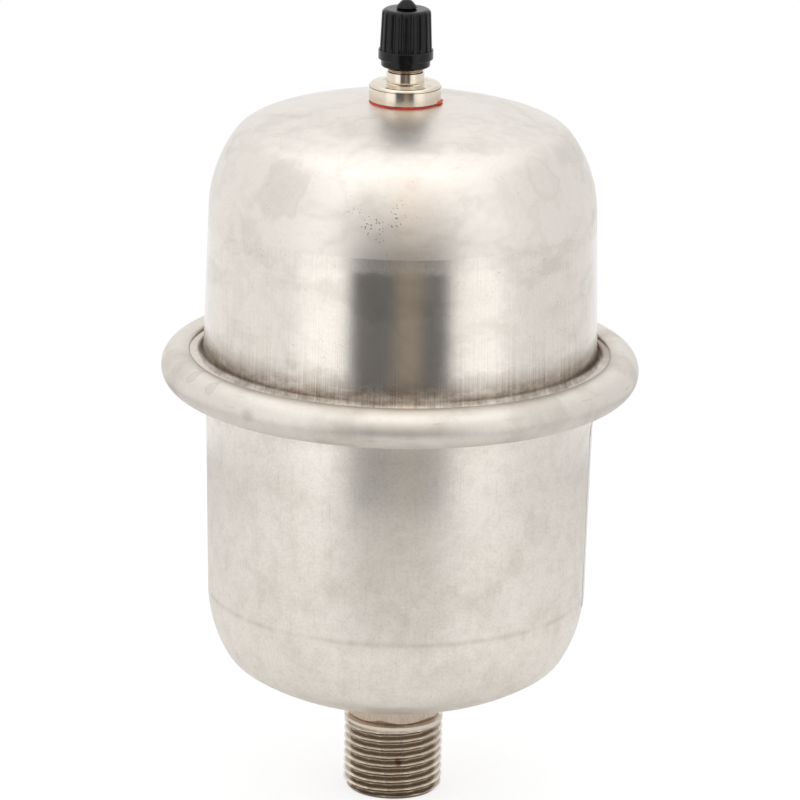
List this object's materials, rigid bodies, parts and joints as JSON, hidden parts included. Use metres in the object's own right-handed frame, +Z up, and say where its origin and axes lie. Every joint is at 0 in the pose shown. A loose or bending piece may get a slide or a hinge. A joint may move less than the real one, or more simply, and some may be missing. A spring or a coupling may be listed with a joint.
{
  "type": "water hammer arrestor",
  "caption": "Stainless water hammer arrestor: two drawn halves in a rolled seam around a rubber diaphragm, threaded water nipple below, gas charging valve with dust cap on top.",
  "frame": {"origin": "centre of the water nipple's end face, the lowest face of the part", "axes": "+Z up along the vessel's axis towards the charging valve, -Y towards the camera side, +X to the right of it"},
  "size_m": [0.1, 0.1, 0.1714],
  "materials": {
    "pickled_steel": "matt pickled stainless sheet",
    "polished_steel": "satin stainless sheet with drawing marks and water stains",
    "turned_steel": "turned stainless, dull in the thread",
    "braze_metal": "dull filler metal",
    "nickel_plate": "warm bright nickel plate",
    "zinc_steel": "zinc-plated steel",
    "core_brass": "turned brass",
    "spring_steel": "bright spring wire",
    "black_plastic": "moulded black plastic with a low gloss",
    "black_rubber": "matt rubber",
    "red_gasket": "red gasket",
    "white_ptfe": "white low-friction ring",
    "label_paper": "blank white label"
  },
  "bodies": {
    "vessel": {"lower_shell": "pickled_steel", "upper_shell": "polished_steel", "diaphragm": "black_rubber", "inlet_nipple": "turned_steel", "nipple_braze": "braze_metal", "side_label": "label_paper", "valve_body": "nickel_plate", "valve_gasket": "red_gasket", "valve_washer": "zinc_steel", "valve_nut": "zinc_steel", "core_plug": "core_brass", "core_barrel": "core_brass", "core_seal_ring": "white_ptfe", "core_spring": "spring_steel"},
    "core_pin": {"core_pin": "core_brass", "core_cup": "core_brass", "core_seat": "black_rubber"},
    "cap_lifter": {"cap_seal": "black_rubber"},
    "cap": {"valve_cap": "black_plastic"}
  },
  "joints": [
    {"name": "core_press", "type": "slide", "parent": "vessel", "child": "core_pin", "axis": [0, 0, -1], "range_m": [0, 0.001], "stiffness_N_per_m": 600, "springref_m": -0.0015, "deforming": ["core_spring"]},
    {"name": "cap_lift", "type": "slide", "parent": "vessel", "child": "cap_lifter", "axis": [0, 0, 1], "range_m": [0, 0.00397]},
    {"name": "cap_turn", "type": "hinge", "parent": "cap_lifter", "child": "cap", "pos_m": [0, 0, 0.16], "axis": [0, 0, 1], "range_deg": [0, 1800]}
  ],
  "couplings": [
    {"joint": "cap_turn", "follows": "cap_lift", "rad_per_m": 7915.7}
  ]
}
